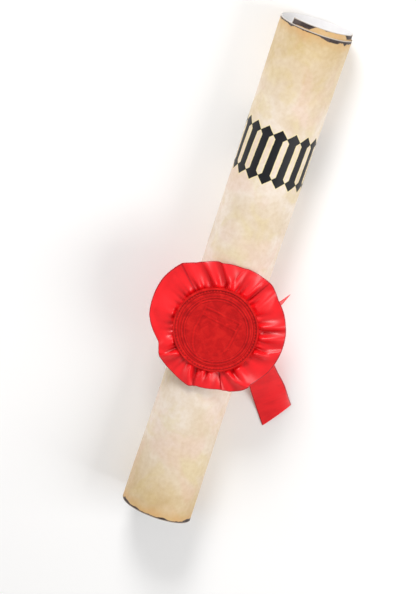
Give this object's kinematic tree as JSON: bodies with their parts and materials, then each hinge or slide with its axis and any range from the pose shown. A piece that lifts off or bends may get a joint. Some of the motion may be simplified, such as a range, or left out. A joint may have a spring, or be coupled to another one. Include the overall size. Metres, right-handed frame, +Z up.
{
  "type": "paper scroll",
  "caption": "Rolled parchment-print paper scroll tied with a red satin ribbon, under a gathered ribbon rosette with a pressed seal; lies on its side.",
  "frame": {"origin": "on the small flat spot that the roll rests on, below the middle of the sheet's height", "axes": "+Y along the roll towards its head, +Z up through the rosette's side, +X towards the knot and the ribbon's tails"},
  "size_m": [0.0905, 0.2846, 0.0438],
  "materials": {
    "parchment_paper": "matte printed",
    "red_satin": "satin weave",
    "red_felt": "matte felt",
    "red_thread": "spun cotton",
    "seal_red": "pressed, matte suede"
  },
  "bodies": {
    "root": {"scroll_sheet": "parchment_paper", "tie_ribbon": "red_satin", "backing_disc": "red_felt", "ruffle": "red_satin", "gathering_thread": "red_thread", "seal_disc": "seal_red"}
  },
  "joints": []
}
